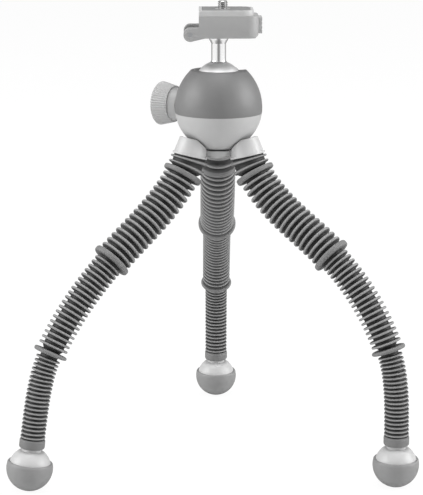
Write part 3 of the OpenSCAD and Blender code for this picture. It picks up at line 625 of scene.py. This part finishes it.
@dataclass
class Leg:
    """One ribbed leg with its wire core and its ball foot.

    The groove walls between two pieces tuck into the ribs beside them. A ring that stands out past
    band_share of a rib's height belongs to a band or cuff, and band_highlight is its value in the
    painted light mask, which paints a highlight on its face and no groove shade. Shoulder and lip are
    the rounded edges of cap and boot, as points from the sharp corner, and the ball's arc takes over
    after shoulder_turn or lip_turn radians.
    """

    side: str
    azimuth: float
    level: float
    line: LegLine
    segments: int = 44
    sharp: float = 50.0
    fillet: float = 0.45
    fillet_bend: float = 0.3
    wall_bend: float = 0.4
    wall_tuck: float = 0.3
    wall_clear: float = 0.02
    bore_step: float = 4.0
    band_share: float = 1.02
    band_highlight: float = 0.88
    wire_slack: float = 0.05
    wire_gap: float = 0.3
    wire_step: float = 3.0
    wire_root: float = 8.0
    neck_r: float = 6.0
    neck_len: float = 2.0
    neck_edge: float = 0.6
    cap_top_h: float = 11.0
    cap_tuck: float = 3.0
    cap_floor: float = 1.0
    cap_steps: int = 10
    cap_facets: int = 64
    shoulder: tuple[tuple[float, float], ...] = ((-0.9, 0.0), (-0.4, 0.08), (0.05, 0.4))
    shoulder_turn: float = 0.06
    boot_r: float = 14.7
    boot_wall: float = 1.3
    boot_gap: float = 0.06
    boot_edge_h: float = 4.0
    boot_tuck: float = 2.0
    boot_chamfer: float = 0.12
    lip: tuple[tuple[float, float], ...] = ((-0.75, 0.0), (-0.28, 0.08))
    lip_turn: float = 0.045
    boot_steps: int = 26
    boot_facets: int = 72

    def place(self, s: float) -> Matrix:
        """Frame on the line, whose Z runs down the leg and whose X faces outward and up.

        Args:
            s: length along the line.

        Returns:
            The frame, in metres.
        """
        r, drop, slant = self.line.spot(s)
        a = math.radians(self.azimuth)
        out, side = Vector((math.cos(a), math.sin(a), 0)), Vector((math.sin(a), -math.cos(a), 0))
        along = out * math.sin(slant) - Vector((0, 0, math.cos(slant)))
        across = out * math.cos(slant) + Vector((0, 0, math.sin(slant)))
        made = Matrix((across, side, along)).transposed().to_4x4()
        made.translation = out * (r * MM) + Vector((0, 0, self.level - drop * MM))
        return made

    def sweep(self, profile: Profile, closed: bool, deep: float = 0.0,
              tip: float = 0.0) -> bpy.types.Mesh:
        """Sweeps an outline round the leg's bent line.

        Args:
            profile: points as (length along the line, radius), in millimetres.
            closed: whether the last ring joins the first.
            deep: radius that counts as a groove's floor.
            tip: radius that counts as a rib's edge; 0 leaves the depth out.

        Returns:
            The new mesh.
        """
        work = bmesh.new()
        rings = []
        for s, r in profile:
            place = self.place(s)
            ring = []
            for k in range(self.segments):
                a = 2 * math.pi * k / self.segments
                spot = Vector((r * math.cos(a) * MM, r * math.sin(a) * MM, 0))
                ring.append(work.verts.new(place @ spot))
            rings.append(ring)
        join_rings(work, rings + rings[:1] if closed else rings, self.segments)
        if not closed:
            work.faces.new(rings[0])
            work.faces.new(rings[-1])
        mesh = finished(work)
        if tip:
            depth = mesh.attributes.new("rib_tip", "FLOAT", "POINT")
            shares = [max(0.0, (r - deep) / (tip - deep)) for _, r in profile]
            # Painted light mask: how far out each ring lies between groove floor and rib edge, with
            # bands and cuffs set to a painted highlight.
            rib_highlight = [share if share < self.band_share else self.band_highlight for share in shares]
            depth.data.foreach_set("value", [w for w in rib_highlight for _ in range(self.segments)])
        return mesh

    def ribs(self, i: int) -> list[Rib]:
        """Lists the band, ribs and cuff of a piece.

        Args:
            i: number of the piece from the collar.

        Returns:
            The ribs from the top down.
        """
        line, start = self.line, self.line.start(i)
        section, bands, count = line.pieces[i]
        made = []
        if bands:
            made.append(Rib(start + line.band_pitch / 2, line.band_r[section], line.band_t[section],
                            line.band_edge))
        first, t = start + bands * line.band_pitch, line.rib_t[section]
        made += [Rib(first + (k + 0.5) * line.pitch[section], line.rib_r[section], t, t / 2)
                 for k in range(count)]
        if i == len(line.pieces) - 1:
            made.append(Rib(start + line.length(i) - line.cuff_len / 2, line.cuff_r, line.cuff_len,
                            line.band_edge))
        return made

    def sleeve(self, i: int) -> bpy.types.Mesh:
        """One bending length of the sleeve, with round-edged ribs, filleted grooves and the core's bore.

        Args:
            i: number of the piece from the collar.

        Returns:
            The new mesh.
        """
        line, section, f = self.line, self.line.pieces[i][0], self.fillet
        groove, bore = line.groove_r[section], line.core_r + line.core_gap
        bend = f * self.fillet_bend
        ribs = self.ribs(i)
        outline: Profile = [(ribs[0].low, bore)]
        for k, rib in enumerate(ribs):
            if k:
                outline += [(rib.low - f, groove), (rib.low - bend, groove + bend),
                            (rib.low, groove + f)]
            for centre, turn in ((rib.low + rib.edge, 180), (rib.high - rib.edge, 90)):
                for a in [math.radians(turn - j * 30) for j in range(4)]:
                    outline.append((centre + rib.edge * math.cos(a),
                                    rib.radius - rib.edge + rib.edge * math.sin(a)))
            if k < len(ribs) - 1:
                outline += [(rib.high, groove + f), (rib.high + bend, groove + bend),
                            (rib.high + f, groove)]
        first, last = ribs[0].low, ribs[-1].high
        outline.append((last, bore))
        steps = max(3, round((last - first) / self.bore_step))
        outline += [(last + (first - last) * j / steps, bore) for j in range(1, steps)]
        return self.sweep(self.spaced(outline), True, groove, line.rib_r[section])

    @staticmethod
    def spaced(outline: Profile) -> Profile:
        """Leaves out points that fall on the one before.

        Args:
            outline: the points.

        Returns:
            The points that are left.
        """
        kept = [outline[0]]
        for point in outline[1:]:
            if math.dist(point, kept[-1]) > SAME_POINT:
                kept.append(point)
        return kept

    def groove(self, i: int) -> tuple[bpy.types.Mesh, float, float]:
        """The soft wall that bridges the groove before a piece.

        Args:
            i: number of the piece after the groove.

        Returns:
            The mesh, and the lengths where the bend starts and ends.
        """
        line, f = self.line, self.fillet
        first = self.ribs(i)[0]
        a, b = self.ribs(i - 1)[-1].high if i else 0.0, first.low
        one, two = line.groove_r[line.pieces[max(i - 1, 0)][0]], line.groove_r[line.pieces[i][0]]
        outline: Profile = [
            (a - self.wall_tuck, one + f), (a + self.wall_clear, one + f),
            (a + f * self.wall_bend, one + f * self.fillet_bend), (a + f, one)]
        outline += [(a + f + (b - a - 2 * f) * j / 4, one + (two - one) * j / 4) for j in (1, 2, 3)]
        outline += [
            (b - f, two), (b - f * self.wall_bend, two + f * self.fillet_bend),
            (b - self.wall_clear, two + f), (b + self.wall_tuck, two + f)]
        return self.sweep(outline, False, two, first.radius), a, b

    def wire(self, low: float, high: float, steps: int) -> bpy.types.Mesh:
        """A length of the wire core.

        Args:
            low: where it starts along the line.
            high: where it ends.
            steps: number of lengths that it bends in.

        Returns:
            The new mesh.
        """
        r = self.line.core_r - self.wire_slack
        return self.sweep([(low + (high - low) * k / steps, r) for k in range(steps + 1)], False)

    def build(self, shop: Workshop) -> None:
        """Makes the whole leg and puts each piece on its body.

        Args:
            shop: the workshop that dresses the pieces.
        """
        line, side = self.line, self.side
        for i in range(len(line.pieces)):
            body = f"{side}_{i + 1}"
            ribs = shop.piece(f"{side}_ribs_{i + 1}", self.sleeve(i), "sleeve_rubber", self.sharp)
            shop.on_body(ribs, body, f"{side}_sleeve_{i + 1}")
            mesh, a, b = self.groove(i)
            bridge = shop.piece(f"{side}_groove_{i + 1}", mesh, "sleeve_rubber", self.sharp)
            self.place(a).translation
            self.place(b).translation
            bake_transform(bridge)
            LOG.info("%s stretches down to %s", bridge.name, body)
            low, high = line.start(i) + self.wire_gap, line.start(i + 1) - self.wire_gap
            rod = self.wire(low, high, max(4, round((high - low) / self.wire_step)))
            nodes = [f"{side}_core"] if i == 0 else []
            shop.on_body(shop.piece(f"{side}_wire_{i + 1}", rod, "core_wire"), body, *nodes)
        root = self.wire(-self.wire_root, 0.0, 1)
        shop.on_body(shop.piece(f"{side}_wire_root", root, "core_wire"), "base")
        body = f"{side}_{len(line.pieces)}"
        cap = shop.piece(f"{side}_cap", self.cap(), "collar_plastic")
        shop.on_body(cap, body, f"{side}_foot_cap")
        boot = shop.piece(f"{side}_boot", self.boot(), "boot_rubber")
        shop.on_body(boot, body, f"{side}_foot_boot")

    def foot_place(self) -> Matrix:
        """Frame at the end of the sleeve, where the foot starts."""
        return self.place(self.line.start(len(self.line.pieces)))

    def cap(self) -> bpy.types.Mesh:
        """The foot's cap: a neck, a flat top with a rounded shoulder and the ball's upper part.

        Returns:
            The new mesh.
        """
        middle, r = self.neck_len + self.cap_top_h, self.boot_r - self.boot_wall
        corner = math.sqrt(r ** 2 - self.cap_top_h ** 2)
        profile = rounded([
            (0, 0, 0), (self.neck_r, 0, 0), (self.neck_r, self.neck_len, self.neck_edge),
            (corner + self.shoulder[0][0], self.neck_len, 0)])
        profile += [(corner + x, self.neck_len + y) for x, y in self.shoulder[1:]]
        top, low = math.asin(self.cap_top_h / r), math.asin((self.boot_edge_h - self.cap_tuck) / r)
        for k in range(self.cap_steps + 1):
            a = top - self.shoulder_turn + (low - top + self.shoulder_turn) * k / self.cap_steps
            profile.append((r * math.cos(a), middle - r * math.sin(a)))
        profile.append((0, middle - self.cap_floor))
        return lathe(profile, self.foot_place(), self.cap_facets)

    def boot(self) -> bpy.types.Mesh:
        """The foot's rubber boot, a bowl with a rounded lip, flattened where it meets the floor.

        Returns:
            The new mesh.
        """
        middle, edge_h, r = self.neck_len + self.cap_top_h, self.boot_edge_h, self.boot_r
        inner = r - self.boot_wall + self.boot_gap
        outline: Profile = [
            (math.sqrt(inner ** 2 - (edge_h - self.boot_tuck) ** 2), middle - edge_h + self.boot_tuck),
            (math.sqrt(inner ** 2 - edge_h ** 2), middle - edge_h + self.boot_chamfer)]
        corner = math.sqrt(r ** 2 - edge_h ** 2)
        outline += [(corner + x, middle - edge_h + y) for x, y in self.lip]
        start = math.asin(edge_h / r) - self.lip_turn
        for k in range(self.boot_steps):
            a = start + (-math.pi / 2 - start) * k / self.boot_steps
            outline.append((r * math.cos(a), middle - r * math.sin(a)))
        outline.append((0.0, middle + r))
        mesh = lathe(outline, self.foot_place(), self.boot_facets)
        for vertex in mesh.vertices:
            vertex.co.z = max(vertex.co.z, 0.0)
        return mesh


@dataclass
class Head:
    """Housing, ball with its stem and the lock knob."""

    level: float
    upper_edge: float = 0.6
    lower_edge: float = 0.25
    hub_edge: float = 0.35
    ball_h: float = 14.0
    ball_r: float = 16.0
    ball_steps: int = 40
    satin_slack: float = 0.1
    stem_r: float = 4.7
    stem_len: float = 31.4
    flange_r: float = 6.2
    flange_t: float = 1.6
    flange_edges: tuple[float, float] = (0.4, 0.35)
    flare_h: float = 2.8
    flare_edge: float = 1.5
    fillet: float = 2.0
    fillet_run: float = 1.0
    fillet_steps: int = 6
    bolt_depth: float = 10.0
    bolt_r: float = 2.2
    bolt_gap: float = 0.06
    clamp_gap: float = 0.3
    stem_facets: int = 80
    stem_sharp: float = 60.0
    knob_azimuth: float = 150.0
    knob_start: float = 27.1
    knob_bore_r: float = 3.0
    knob_collar_t: float = 5.4
    knob_collar_r: float = 9.6
    knob_collar_edge: float = 0.4
    knob_inner_r: float = 11.9
    knob_shoulder: float = 1.2
    knob_r: float = 14.25
    knob_t: float = 11.0
    knob_steps: int = 8
    knob_chamfer: float = 1.2
    knob_edge: float = 0.5
    knob_dish: float = 0.8
    knob_rim: float = 4.0
    knob_rim_slope: float = 0.5
    knob_rim_edge: float = 0.3
    flutes: int = 52
    flute_depth: float = 0.4
    flute_from: float = 1.5
    flute_round: float = 1.6
    flute_facets: int = 6
    knob_sharp: float = 45.0

    def clamp_level(self) -> float:
        """Height of the clamp's underside over the stem, in metres."""
        return self.level + (self.ball_h + self.stem_len + self.clamp_gap) * MM

    def build(self, shop: Workshop) -> None:
        """Makes the head's pieces and puts each on its body.

        Args:
            shop: the workshop that dresses the pieces.
        """
        shop.softened("upper_shell", "upper_plastic", self.upper_edge, "base")
        shop.softened("lower_shell", "lower_plastic", self.lower_edge, "base")
        shop.softened("leg_hub", "collar_plastic", self.hub_edge, "base")
        for node, slot in (("hub_screw", "zinc_steel"), ("lock_bush", "bush_brass"),
                           ("ball_seat", "cup_plastic"), ("lock_stud", "zinc_steel"),
                           ("lock_plunger", "cup_plastic")):
            shop.dress_node(node, slot)
        stem = shop.piece("chrome_ball_stem", self.stem(), "polished_chrome", self.stem_sharp)
        shop.on_body(stem, "ball", "ball_stem")
        knob = shop.piece("fluted_knob", self.knob(), "knob_plastic", self.knob_sharp)
        shop.on_body(knob, "knob", "lock_knob")

    def stem(self) -> bpy.types.Mesh:
        """The satin ball with its polished stem, filleted below and flared above, and its bolt hole.

        Returns:
            The new mesh.
        """
        f, reach = self.fillet, self.ball_r + self.fillet
        centre = math.sqrt(reach ** 2 - (self.stem_r + f) ** 2)
        meet = math.asin(centre / reach)
        profile: Profile = [(0.0, -self.ball_r)]
        for k in range(1, self.ball_steps + 1):
            a = -math.pi / 2 + (meet + math.pi / 2) * k / self.ball_steps
            profile.append((self.ball_r * math.cos(a), self.ball_r * math.sin(a)))
        for k in range(1, self.fillet_steps + 1):
            a = meet * (1 - k / self.fillet_steps)
            profile.append((self.stem_r + f - f * math.cos(a), centre - f * math.sin(a)))
        under, hole = self.stem_len - self.flange_t, self.bolt_r + self.bolt_gap
        hole_floor = self.stem_len - self.bolt_depth
        profile += rounded([
            (self.stem_r, centre + self.fillet_run, 0),
            (self.stem_r, under - self.flare_h, self.flare_edge),
            (self.flange_r, under, self.flange_edges[0]),
            (self.flange_r, self.stem_len, self.flange_edges[1]),
            (hole, self.stem_len, 0), (hole, hole_floor, 0), (0, hole_floor, 0)], 4)
        middle = Vector((0, 0, self.level + self.ball_h * MM))
        mesh = lathe(profile, Matrix.Translation(middle), self.stem_facets)
        satin = mesh.attributes.new("satin", "FLOAT", "POINT")
        ball = (self.ball_r + self.satin_slack) * MM
        satin.data.foreach_set("value", [float((v.co - middle).length < ball) for v in mesh.vertices])
        return mesh

    def knob(self) -> bpy.types.Mesh:
        """The fluted knob with its collar and dished face.

        Returns:
            The new mesh.
        """
        grip = self.knob_start + self.knob_collar_t
        end, rim = grip + self.knob_t, self.knob_r - self.knob_rim
        inner, widen = self.knob_inner_r, self.knob_r - self.knob_inner_r
        flank = self.knob_t - self.knob_chamfer
        profile = rounded([
            (self.knob_bore_r, self.knob_start, 0),
            (self.knob_collar_r, self.knob_start, self.knob_collar_edge),
            (inner - self.knob_shoulder, grip, self.knob_rim_edge), (inner, grip, 0)], 3)[:-1]
        profile += [(inner + widen * k / self.knob_steps, grip + flank * k / self.knob_steps)
                    for k in range(self.knob_steps + 1)]
        profile += rounded([
            (self.knob_r, end - self.knob_chamfer, 0),
            (self.knob_r - self.knob_chamfer, end, self.knob_edge),
            (rim + self.knob_rim_slope, end, self.knob_rim_edge),
            (rim, end - self.knob_dish, self.knob_rim_edge),
            (0, end - self.knob_dish, 0)], 3)[1:]

        def fluted(r: float, z: float, a: float) -> float:
            """Cuts the flutes into the grip.

            Args:
                r: radius without flutes.
                z: length along the knob.
                a: angle round it.

            Returns:
                The radius with flutes.
            """
            if z < grip - ON_OUTLINE or r < rim + self.flute_from:
                return r
            wave = 0.5 + 0.5 * math.cos(self.flutes * a)
            return r - self.flute_depth * wave ** self.flute_round

        turn = (Matrix.Rotation(math.radians(self.knob_azimuth), 4, "Z")
                @ Matrix.Rotation(math.pi / 2, 4, "Y"))
        place = Matrix.Translation((0, 0, self.level)) @ turn
        return lathe(profile, place, self.flutes * self.flute_facets, fluted)


@dataclass
class Clamp:
    """Quick release clamp with its lever, pin, bolt, button and spring."""

    underside: float
    body_edge: float = 0.8
    lever_edge: float = 0.5
    button_edge: float = 0.5
    right: float = 25.0
    button_in: float = 4.0
    spring_len: float = 5.0
    spring_r: float = 2.0
    spring_wire: float = 0.7
    spring_up: float = 4.5
    coils: int = 4
    coil_steps: int = 20
    wire_sides: int = 8

    def build(self, shop: Workshop) -> None:
        """Makes the clamp's pieces and puts each on its body.

        Args:
            shop: the workshop that dresses the pieces.
        """
        shop.softened("clamp_body", "clamp_plastic", self.body_edge, "clamp")
        shop.softened("lock_lever", "lever_plastic", self.lever_edge, "lever")
        shop.softened("release_button", "button_plastic", self.button_edge, "button")
        shop.dress_node("clamp_bolt", "zinc_steel")
        shop.dress_node("lever_pin", "zinc_steel")
        coil = shop.piece("coil_spring", self.spring(), "zinc_steel")
        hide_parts("button_spring")
        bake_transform(coil)
        LOG.info("%s presses between clamp and button", coil.name)

    def spring(self) -> bpy.types.Mesh:
        """The button's spring as a wire coil.

        Returns:
            The new mesh.
        """
        work, wire = bmesh.new(), self.spring_wire / 2
        radius, steps = self.spring_r - wire, self.coils * self.coil_steps
        rise = (self.spring_len - self.spring_wire) / steps
        rings = []
        for k in range(steps + 1):
            a = 2 * math.pi * k / self.coil_steps
            x = self.right - self.button_in - self.spring_len + wire + rise * k
            ring = []
            for j in range(self.wire_sides):
                b = 2 * math.pi * j / self.wire_sides
                r = radius + wire * math.cos(b)
                spot = Vector((x + wire * math.sin(b), r * math.cos(a),
                               self.spring_up + r * math.sin(a)))
                ring.append(work.verts.new(spot * MM + Vector((0, 0, self.underside))))
            rings.append(ring)
        join_rings(work, rings, self.wire_sides)
        work.faces.new(rings[0])
        work.faces.new(rings[-1])
        return finished(work)


@dataclass
class Plate:
    """Camera plate with its rubber pad and captive screw.

    The plate's underside comes down from deck_gap to deck_line over the clamp.
    """

    underside: float
    edge: float = 0.5
    floor: float = 7.6
    gap: float = 0.3
    deck_top: float = 17.4
    deck_gap: float = 0.4
    deck_line: float = 0.1
    offset: float = 2.6
    head_r: float = 7.0
    head_h: float = 2.2
    head_edge: float = 0.3
    shank_r: float = 2.6
    thread_r: float = 3.175
    thread_h: float = 5.0
    thread_gap: float = 0.3
    thread_pitch: float = 1.27
    thread_depth: float = 0.68
    thread_chamfer: float = 0.7
    thread_rows: int = 56
    thread_lead: float = 0.02
    thread_short: float = 0.05
    tooth_slope: float = 3.2
    tooth_flat: float = 0.3
    screw_facets: int = 64
    screw_sharp: float = 60.0

    def build(self, shop: Workshop) -> None:
        """Makes the plate's pieces and puts each on its body.

        Args:
            shop: the workshop that dresses the pieces.
        """
        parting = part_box("clamp_body")[1].z + self.deck_gap * MM
        shop.softened("camera_plate", "plate_plastic", self.edge, "plate", parting,
                      self.deck_gap - self.deck_line)
        shop.dress_node("plate_pad", "pad_rubber")
        screw = shop.piece("threaded_camera_screw", self.screw(), "screw_steel", self.screw_sharp)
        shop.on_body(screw, "cam_screw", "camera_screw")

    def screw(self) -> bpy.types.Mesh:
        """The captive screw: head, relieved shank and a 20 threads per inch thread.

        Returns:
            The new mesh.
        """
        base, top = self.floor + self.gap, self.deck_top + self.thread_h
        start, shoulder = self.deck_top + self.thread_gap, base + self.head_h
        profile = rounded([
            (0, base, 0), (self.head_r, base, self.head_edge), (self.head_r, shoulder, self.head_edge),
            (self.shank_r, shoulder, 0), (self.shank_r, start, 0)], 3)
        run = top - start - self.thread_short
        profile += [(self.thread_r, start + self.thread_lead + run * k / self.thread_rows)
                    for k in range(self.thread_rows + 1)]
        profile += [(self.thread_r - self.thread_depth, top), (0, top)]

        def threaded(r: float, z: float, a: float) -> float:
            """Cuts the thread's grooves and chamfers its end.

            Args:
                r: radius without a thread.
                z: height.
                a: angle round the screw.

            Returns:
                The radius with its thread.
            """
            if r < self.thread_r - ON_OUTLINE or z < start:
                return r
            wave = (z / self.thread_pitch - a / (2 * math.pi)) % 1.0
            tooth = max(0.0, min(1.0, self.tooth_slope * abs(wave - 0.5) - self.tooth_flat))
            chamfer = max(0.0, (z - top + self.thread_chamfer) / self.thread_chamfer)
            return r - self.thread_depth * max(tooth, chamfer)

        place = Matrix.Translation((self.offset * MM, 0, self.underside))
        return lathe(profile, place, self.screw_facets, threaded)


@dataclass(frozen=True)
class Lamp:
    """A soft square lamp, by its place and its side in metres and its power in watts."""

    name: str
    spot: tuple[float, float, float]
    side: float
    watts: float

    def build(self, aim: tuple[float, float, float]) -> None:
        """Makes the lamp.

        Args:
            aim: the point that it faces, in metres.
        """
        data = bpy.data.lights.new(self.name, "AREA")
        data.size, data.energy = self.side, self.watts
        lamp = bpy.data.objects.new(self.name, data)
        bpy.context.scene.collection.objects.link(lamp)
        lamp.location = self.spot
        lamp.rotation_euler = (Vector(aim) - Vector(self.spot)).to_track_quat("-Z", "Y").to_euler()


@dataclass
class Studio:
    """Pale floor, soft lamps, the surround and the camera. Lengths in metres, camera turns in radians.

    The cards are what the chrome mirrors round the horizon, from the back at 0 to the front at 1, and
    the roof is what it mirrors above, from one height of a ray's direction to the other.
    """

    image: tuple[int, int] = (423, 495)
    focal_px: float = 1804.5
    sensor_mm: float = 36.0
    clip: tuple[float, float] = (0.05, 50.0)
    eye: tuple[float, float, float] = (-0.01523, -1.14871, 0.39635)
    pitch: float = 0.219
    yaw: float = 0.0093
    aim: tuple[float, float, float] = (0.0, 0.0, 0.17)
    lamps: tuple[Lamp, ...] = (
        Lamp("left", (-1.9, -0.35, 1.0), 1.3, 30.0),
        Lamp("right", (1.9, -0.2, 0.95), 1.3, 32.0),
        Lamp("top", (0.0, -0.2, 2.1), 1.4, 23.0))
    floor_half: float = 9.0
    floor_drop: float = 0.0002
    floor_glow: float = 1.04
    glow_share: float = 0.9
    even_light: float = 0.38
    mirror_light: float = 1.2
    cards: tuple[tuple[float, str], ...] = (
        (0.0, "#a0a0a0"), (0.22, "#a8a8a8"), (0.34, "#ffffff"),
        (0.945, "#ffffff"), (0.98, "#a0a0a0"), (1.0, "#8e8e8e"))
    roof: tuple[float, float] = (0.72, 0.95)

    def build(self) -> None:
        """Makes the stage, the lamps, the world and the camera."""
        self.make_floor()
        for lamp in self.lamps:
            lamp.build(self.aim)
        self.make_world()
        self.make_camera()

    def make_floor(self) -> None:
        """A wide pale floor, white to the camera under a soft shadow, that mirrors look through."""
        work = bmesh.new()
        bmesh.ops.create_grid(work, x_segments=1, y_segments=1, size=self.floor_half)
        mesh = bpy.data.meshes.new("pale_floor")
        work.to_mesh(mesh)
        work.free()
        floor = bpy.data.objects.new("pale_floor", mesh)
        bpy.context.scene.collection.objects.link(floor)
        floor.location.z = -self.floor_drop
        material = bpy.data.materials.new("matt_white_card")
        material.use_nodes = True
        tree = material.node_tree
        tree.nodes.clear()
        path = add_node(tree, "ShaderNodeLightPath").outputs
        share = add_node(tree, "ShaderNodeMath", {1: self.glow_share}, {0: path["Is Camera Ray"]},
                         operation="MULTIPLY").outputs[0]
        card = add_node(tree, "ShaderNodeBsdfDiffuse", {"Color": linear("#f4f4f4")}).outputs[0]
        glow = add_node(tree, "ShaderNodeEmission",
                        {"Color": linear("#ffffff"), "Strength": self.floor_glow}).outputs[0]
        shown = add_node(tree, "ShaderNodeMixShader", None, {0: share, 1: card, 2: glow}).outputs[0]
        clear = add_node(tree, "ShaderNodeBsdfTransparent").outputs[0]
        both = add_node(tree, "ShaderNodeMixShader", None,
                        {0: path["Is Glossy Ray"], 1: shown, 2: clear}).outputs[0]
        add_node(tree, "ShaderNodeOutputMaterial", None, {"Surface": both})
        mesh.materials.append(material)

    def make_world(self) -> None:
        """An even pale surround, white to the camera, with the cards that the chrome mirrors.

        A grey strip stands behind the camera, bright cards on both sides of it, grey ones at the back
        and a pale grey roof.
        """
        world = bpy.data.worlds.new("studio")
        bpy.context.scene.world = world
        world.use_nodes = True
        tree = world.node_tree
        tree.nodes.clear()
        path = add_node(tree, "ShaderNodeLightPath").outputs
        way = add_node(tree, "ShaderNodeTexCoord").outputs["Generated"]
        level = add_node(tree, "ShaderNodeVectorMath", {1: (1.0, 1.0, 0.0)}, {0: way},
                         operation="MULTIPLY").outputs[0]
        flat = add_node(tree, "ShaderNodeVectorMath", None, {0: level}, operation="NORMALIZE").outputs[0]
        front = add_node(tree, "ShaderNodeVectorMath", {1: (0.0, -1.0, 0.0)}, {0: flat},
                         operation="DOT_PRODUCT").outputs["Value"]
        place = add_node(tree, "ShaderNodeMapRange", {"From Min": -1.0, "From Max": 1.0},
                         {"Value": front}).outputs["Result"]
        ring = add_node(tree, "ShaderNodeValToRGB", None, {"Fac": place})
        stops = ring.color_ramp.elements
        while len(stops) < len(self.cards):
            stops.new(0.5)
        for stop, (position, code) in zip(stops, self.cards):
            stop.position, stop.color = position, linear(code)
        height = add_node(tree, "ShaderNodeSeparateXYZ", None, {0: way}).outputs["Z"]
        above = add_node(tree, "ShaderNodeMapRange",
                         {"From Min": self.roof[0], "From Max": self.roof[1]},
                         {"Value": height}).outputs["Result"]
        mirrored = add_node(tree, "ShaderNodeMix", {MIX_TWO: linear("#dcdcdc")},
                            {MIX_SHARE: above, MIX_ONE: ring.outputs["Color"]},
                            data_type="RGBA").outputs[MIX_RESULT]
        soft = add_node(tree, "ShaderNodeBackground", {"Strength": self.mirror_light},
                        {"Color": mirrored}).outputs[0]
        plain = add_node(tree, "ShaderNodeBackground",
                         {"Color": linear("#ffffff"), "Strength": 1.0}).outputs[0]
        even = add_node(tree, "ShaderNodeBackground",
                        {"Color": linear("#ffffff"), "Strength": self.even_light}).outputs[0]
        lit = add_node(tree, "ShaderNodeMixShader", None,
                       {0: path["Is Glossy Ray"], 1: even, 2: soft}).outputs[0]
        both = add_node(tree, "ShaderNodeMixShader", None,
                        {0: path["Is Camera Ray"], 1: lit, 2: plain}).outputs[0]
        add_node(tree, "ShaderNodeOutputWorld", None, {"Surface": both})

    def make_camera(self) -> None:
        """The camera at the photograph's angle."""
        data = bpy.data.cameras.new("camera")
        data.sensor_width = self.sensor_mm
        data.lens = self.focal_px * self.sensor_mm / max(self.image)
        data.clip_start, data.clip_end = self.clip
        camera = bpy.data.objects.new("camera", data)
        bpy.context.scene.collection.objects.link(camera)
        camera.location = self.eye
        ahead, down = math.cos(self.pitch), math.sin(self.pitch)
        look = Vector((math.sin(self.yaw) * ahead, math.cos(self.yaw) * ahead, -down))
        camera.rotation_euler = look.to_track_quat("-Z", "Y").to_euler()
        bpy.context.scene.camera = camera


# Depth of the housing's foot below its widest level, from which the head and the legs are measured.
HOUSING_FOOT = 27.0


def main() -> None:
    """Builds the studio and every sub-assembly."""
    logging.basicConfig(level=logging.INFO, format="%(name)s: %(message)s")
    bpy.context.scene.view_settings.view_transform = "Standard"
    Studio().build()
    shop = Workshop()
    head = Head(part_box("lower_shell")[0].z + HOUSING_FOOT * MM)
    head.build(shop)
    Clamp(head.clamp_level()).build(shop)
    Plate(head.clamp_level()).build(shop)
    depth = LegLine(LEG_BENDS["left"][1]).foot()[1]
    for side, (azimuth, bends) in LEG_BENDS.items():
        Leg(side, azimuth, head.level, LegLine(bends).settled(depth)).build(shop)


if __name__ == "__main__":
    main()
